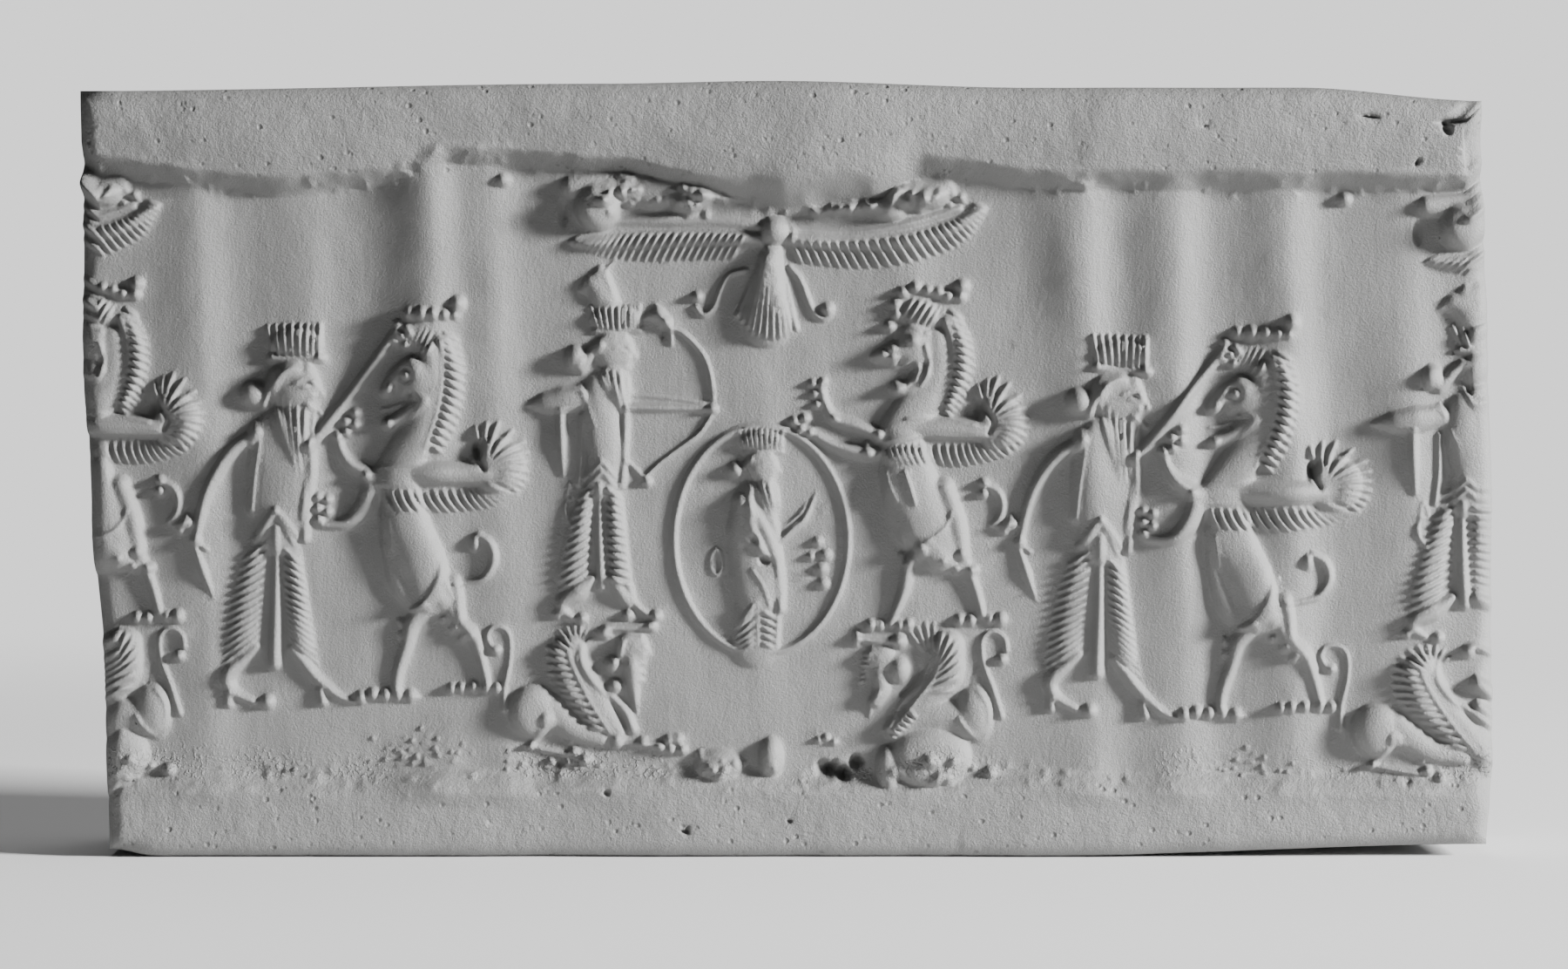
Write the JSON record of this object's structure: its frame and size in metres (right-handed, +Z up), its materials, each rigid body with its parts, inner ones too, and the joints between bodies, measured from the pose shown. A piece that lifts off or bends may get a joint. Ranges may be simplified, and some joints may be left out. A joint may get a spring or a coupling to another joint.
{
  "type": "cylinder seal impression",
  "caption": "Strip of modelling clay standing on its long edge, its front rolled with a cylinder seal: crowned heroes, winged lion-griffins, sphinxes, an archer and an oval frame in relief.",
  "frame": {"origin": "centre of the bounding box's footprint, at the flat underside that the strip stands on", "axes": "+X along the strip to the viewer's right, -Y out of the rolled front, +Z up"},
  "size_m": [0.0648, 0.0094, 0.0356],
  "materials": {
    "clay": "matt mid-grey modelling clay with a faint waxy sheen, finely pitted on the borders and smoother in the rolled track"
  },
  "bodies": {
    "root": {"impression_slab": "clay"}
  },
  "joints": []
}
